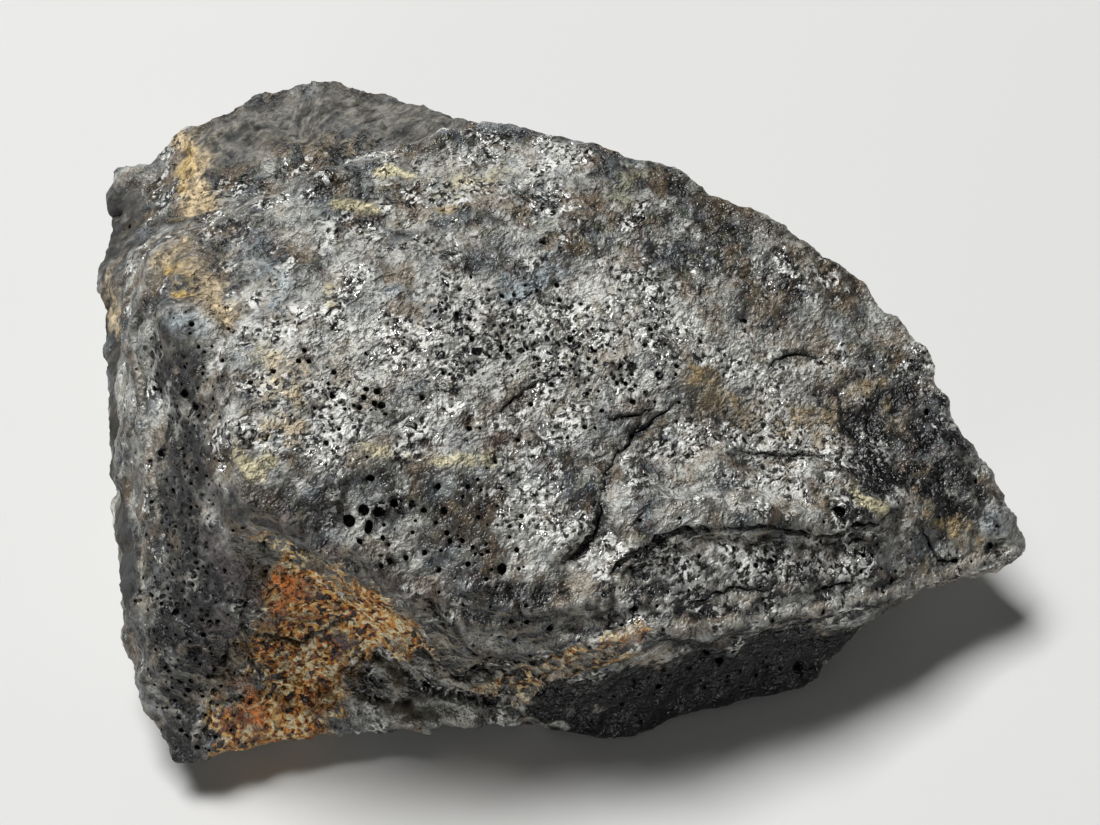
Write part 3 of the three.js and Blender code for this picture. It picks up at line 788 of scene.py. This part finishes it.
# white crystals in groups, partly painted sparkle, and single bright flat faces, where neither rust nor film nor
# painted shade covers them
film = add("Math", stain_cover, 0.3, operation="MULTIPLY")
covered = add("Math", add("Math", rusty, calm, operation="MAXIMUM"), film, operation="MAXIMUM")
covered = add("Math", covered, add("MapRange", shade, 0.5, 1, 0, 0.9), operation="MAXIMUM")
bare = add("Math", 1, covered, operation="SUBTRACT")
white_grains_and_sparkle = 0
for field, weight in ((chance, 0.12), (grain, 0.4), (lump_white, 0.7), (silver, 0.03)):
    white_grains_and_sparkle = add("Math", field, weight, white_grains_and_sparkle, operation="MULTIPLY_ADD")
white_grains_and_sparkle = add("MapRange", white_grains_and_sparkle, 0.637, 0.68, 0, 1, interpolation_type="SMOOTHSTEP")
open_share = add("Math", open_crystals, 0.9, 0.08, operation="MULTIPLY_ADD")
open_share = add("Math", open_share, bare, operation="MULTIPLY")
white_grains_and_sparkle = add("Math", white_grains_and_sparkle, open_share, operation="MULTIPLY")
tone = add("Mix", white_grains_and_sparkle, tone, linear("#fafaf5"), data_type="RGBA")
glint = add("Math", open_crystals, 0.3, chance, operation="MULTIPLY_ADD")
glint = add("MapRange", glint, 0.97, 1.07, 0, 1, interpolation_type="SMOOTHSTEP")
for share in (bare, add("MapRange", lump, 0.4, 0.55, 0, 1)):
    glint = add("Math", glint, share, operation="MULTIPLY")
tone = add("Mix", add("Math", glint, 0.8, operation="MULTIPLY"), tone, linear("#e9e8e3"), data_type="RGBA")

# the rusty crust: crumbs from black through orange to cream, browner in patches
crumb = 0
for field, weight in ((grain, 0.4), (patch_light, 0.2), (lump_white, 0.5), (chance_dark, 0.28)):
    crumb = add("Math", field, weight, crumb, operation="MULTIPLY_ADD")
crumbs = add("ValToRGB", crumb)
crumb_colours = ((0.55, "#120b08"), (0.59, "#8a4415"), (0.645, "#dc8f38"), (0.72, "#f0c06c"), (0.81, "#fff0c8"))
ramp = crumbs.node.color_ramp.elements
for position, _ in crumb_colours[1:-1]:
    ramp.new(position)
for element, (position, hex_colour) in zip(ramp, crumb_colours):
    element.position, element.color = position, linear(hex_colour)
browner = add("MapRange", patch_tint, 0.52, 0.62, 0, 0.6)
crust = add("Mix", browner, crumbs, linear("#3d2014"), data_type="RGBA")
rusted = rusty
for field, weight in ((patch_light, 1.4), (lump, 1.4), (chance_dark, 0.4)):
    rusted = add("Math", field, weight, rusted, operation="MULTIPLY_ADD")
rusted = add("MapRange", rusted, 1.75, 2.05, 0, 1, interpolation_type="SMOOTHSTEP")
rusted = add("Math", rusted, add("MapRange", rusty, 0.02, 0.2, 0, 1), operation="MULTIPLY")
tone = add("Mix", rusted, tone, crust, data_type="RGBA")

# stains with an eroded edge, speckled like the grain beneath
edge = stain_cover
for field, weight in ((patch_light, 1.3), (lump, 1.8)):
    edge = add("Math", add("Math", field, 0.5, operation="SUBTRACT"), weight, edge, operation="MULTIPLY_ADD")
stained = add("MapRange", edge, 0.3, 0.95, 0, 0.93, interpolation_type="SMOOTHSTEP")
stained = add("Math", stained, add("MapRange", stain_cover, 0, 0.25, 0, 1), operation="MULTIPLY")
speck = add("Math", lump_white, 2.4, 0.4, operation="MULTIPLY_ADD")
speck = add("Math", chance_dark, -0.9, speck, operation="MULTIPLY_ADD")
tone = add("Mix", stained, tone, add("VectorMath", stain, speck, operation="SCALE"), data_type="RGBA")

# black gaps between the crumbs of all of it
gap = add("Math", chance_dark, -0.1, grain, operation="MULTIPLY_ADD")
gap = add("MapRange", gap, 0.42, 0.33, 0, 1, interpolation_type="SMOOTHSTEP")
gap_share = add("Math", calm, -0.35, 0.4, operation="MULTIPLY_ADD")
gap_share = add("Math", open_crystals, 0.55, gap_share, operation="MULTIPLY_ADD")
tone = add("Mix", add("Math", gap, gap_share, operation="MULTIPLY"), tone, linear("#0e0e0e"), data_type="RGBA")

# thin layers in the folded side, pale on their edges and dark in their gaps
for begins, full, share, layer_colour in ((0.53, 0.6, 0.6, "#a59a84"), (0.5, 0.43, 1, "#0d0c0b")):
    layer = add("Math", layered, add("MapRange", layers, begins, full, 0, share), operation="MULTIPLY")
    tone = add("Mix", layer, tone, linear(layer_colour), data_type="RGBA")

# open pores where the melt frothed, fine and coarse, painted black for the shade down in them: how far apart they
# are in millimetres, and how wide they get
pore_edge = 9
openness = []
for width, spread in ((0.5, 0.95), (1.1, 0.7)):
    cell = add("TexVoronoi", wobble, 1 / width, output="Distance")
    luck = add("SeparateColor", cell.node.outputs["Color"])
    luck_needed = add("Math", porous, -0.62, 0.85, operation="MULTIPLY_ADD")
    reach = add("Math", luck, luck_needed, operation="SUBTRACT", use_clamp=True)
    reach = add("Math", reach, spread, operation="MULTIPLY")
    reach = add("Math", reach, cell, operation="SUBTRACT")
    openness.append(add("Math", reach, pore_edge, operation="MULTIPLY", use_clamp=True))
tone = add("Mix", add("Math", *openness, operation="MAXIMUM"), tone, linear("#060606"), data_type="RGBA")

# painted light along the rim, crests, knobs and ridges and on the foot; painted shade, black down in the large
# pits and the cracks
edge_light_share = add("Math", painted_edge_light, add("MapRange", lump, 0.35, 0.5, 0.5, 0.9), operation="MULTIPLY")
tone = add("Mix", edge_light_share, tone, linear("#c4bfb2"), data_type="RGBA")
tone = add("Mix", add("Math", pit_and_crack_shade, 0.92, operation="MULTIPLY"), tone, linear("#080808"), data_type="RGBA")

# relief, and crystal faces that each tilt their own way
relief_height = 1 * MM
height = 0
for field, weight in ((grain, 0.28), (lump, 0.85), (add("Math", layered, layers, operation="MULTIPLY"), 1.3)):
    height = add("Math", field, weight, height, operation="MULTIPLY_ADD")
bumped = add("Bump", add("Math", calm, -0.7, 1, operation="MULTIPLY_ADD"), relief_height, None, height)
tilt = add("VectorMath", crystals, (0.5, 0.5, 0.5), operation="SUBTRACT")
tilt_share = add("Math", calm, -0.1, 0.12, operation="MULTIPLY_ADD")
tilt_share = add("Math", open_crystals, 0.6, tilt_share, operation="MULTIPLY_ADD")
tilt = add("VectorMath", tilt, tilt_share, operation="SCALE")
facets = add("VectorMath", add("VectorMath", bumped, tilt, operation="ADD"), operation="NORMALIZE")

# smooth on the melted skin, rough where it is dull or stained
refraction = 1.6
metallic = add("Math", glint, 0.9, operation="MULTIPLY")
roughness = add("Math", calm, 0.5, 0.22, operation="MULTIPLY_ADD")
for field, weight in ((stain_cover, 0.25), (chance_rough, 0.2)):
    roughness = add("Math", field, weight, roughness, operation="MULTIPLY_ADD")
add("OutputMaterial", add("BsdfPrincipled", tone, metallic, roughness, refraction, None, facets))

only(stone)
bpy.ops.object.shade_smooth()
stone.data.materials.clear()
stone.data.materials.append(material)
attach(stone, "root")
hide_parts("meteorite")

# ---------------------------------------------------------------- floor and light
# A sheet of white paper, one soft light high behind the stone's left shoulder, which leaves its broken front in
# half shade, and a weak one low in front, which lifts the hollow and the front edge.
bpy.ops.mesh.primitive_plane_add(size=2, location=(0, 0, 0))
floor = bpy.context.object
floor.name = "floor"
paper = bpy.data.materials.new("white_paper")
paper.use_nodes = True
paper_finish = paper.node_tree.nodes["Principled BSDF"]
paper_finish.inputs["Base Color"].default_value = linear("#e5e5e3")
paper_finish.inputs["Roughness"].default_value = 0.8
floor.data.materials.append(paper)

world = bpy.data.worlds.new("studio")
world.use_nodes = True
sky = world.node_tree.nodes["Background"]
sky.inputs["Color"].default_value = linear("#ffffff")
sky.inputs["Strength"].default_value = 0.035
bpy.context.scene.world = world
bpy.context.scene.view_settings.view_transform = "Standard"

# the way to each light, its side in metres and its power in watts
light_distance = 1.6
for name, way, side, power in (
    ("key_softbox", (-0.3, 0.32, 1), 0.7, 27.5),
    ("fill_softbox", (-0.45, -0.85, 0.14), 0.4, 5.2),
):
    bpy.ops.object.light_add(type="AREA", location=Vector(way).normalized() * light_distance)
    light = bpy.context.object
    light.name = name
    light.rotation_euler = (-light.location).to_track_quat("-Z", "Y").to_euler()
    light.data.size = side
    light.data.energy = power
